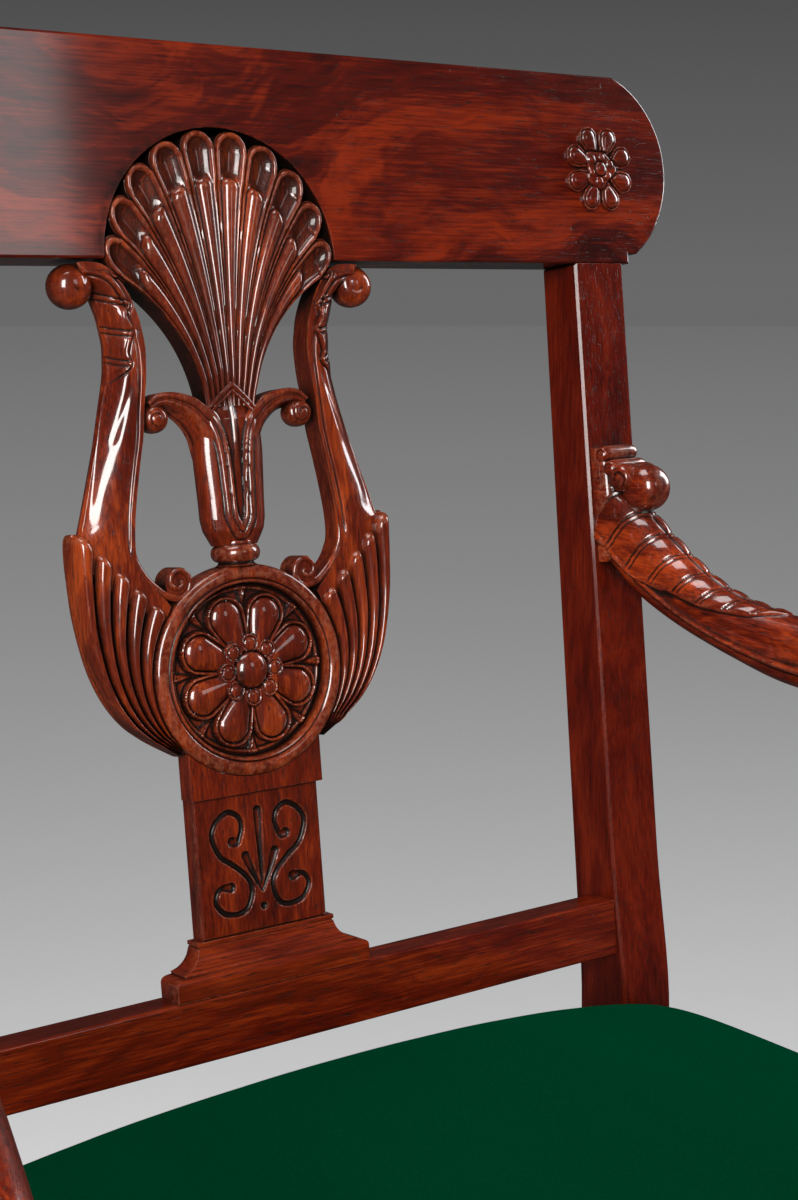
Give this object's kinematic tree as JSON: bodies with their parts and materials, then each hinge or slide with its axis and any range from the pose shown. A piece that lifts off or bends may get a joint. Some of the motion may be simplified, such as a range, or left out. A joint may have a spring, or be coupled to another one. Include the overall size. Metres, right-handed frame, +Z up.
{
  "type": "lyre back elbow chair",
  "caption": "Wooden elbow chair with a carved lyre splat, raked back, sabre legs, scrolled arms and a loose upholstered seat that lifts out.",
  "frame": {"origin": "on the floor, under the middle of the chair's bounding box", "axes": "+Z up, the chair faces -Y, +X to the right of someone who looks at its front"},
  "size_m": [0.5586, 0.5788, 0.9208],
  "materials": {
    "mahogany": "French polished",
    "beech": "bare, planed",
    "screw_steel": "plain",
    "tack_steel": "blued",
    "webbing": "woven jute",
    "linen": "plain woven",
    "stuffing": "curled hair",
    "seat_cloth": "close matt wool"
  },
  "bodies": {
    "frame": {"top_rail": "mahogany", "rail_rosette_left": "mahogany", "rail_rosette_right": "mahogany", "rear_leg_left": "mahogany", "rear_leg_right": "mahogany", "cross_rail": "mahogany", "lyre_fan": "mahogany", "lyre_lotus": "mahogany", "lyre_collar": "mahogany", "lyre_arm_left": "mahogany", "lyre_arm_right": "mahogany", "patera_ring": "mahogany", "patera_flower": "mahogany", "plinth_cap": "mahogany", "plinth_panel": "mahogany", "plinth_base": "mahogany", "front_leg_left": "mahogany", "front_leg_right": "mahogany", "arm_left": "mahogany", "arm_right": "mahogany", "arm_support_left": "mahogany", "arm_support_right": "mahogany", "front_seat_rail": "mahogany", "side_rail_left": "mahogany", "side_rail_right": "mahogany", "back_seat_rail": "mahogany", "rear_seat_bearer": "beech", "corner_block_front_left": "beech", "corner_block_front_right": "beech", "corner_block_rear_left": "beech", "corner_block_rear_right": "beech", "arm_screws": "screw_steel", "support_screws": "screw_steel", "block_screws": "screw_steel", "bearer_screws": "screw_steel"},
    "seat": {"seat_frame_front": "beech", "seat_frame_back": "beech", "seat_frame_left": "beech", "seat_frame_right": "beech", "webbing_lengthwise": "webbing", "webbing_crosswise": "webbing", "base_cloth": "linen", "bottom_cloth": "linen", "seat_pad": "stuffing", "seat_cover": "seat_cloth", "cover_tacks": "tack_steel"}
  },
  "joints": [
    {"name": "seat_lift", "type": "slide", "parent": "frame", "child": "seat", "axis": [0, 0, 1], "range_m": [0, 0.08]}
  ]
}
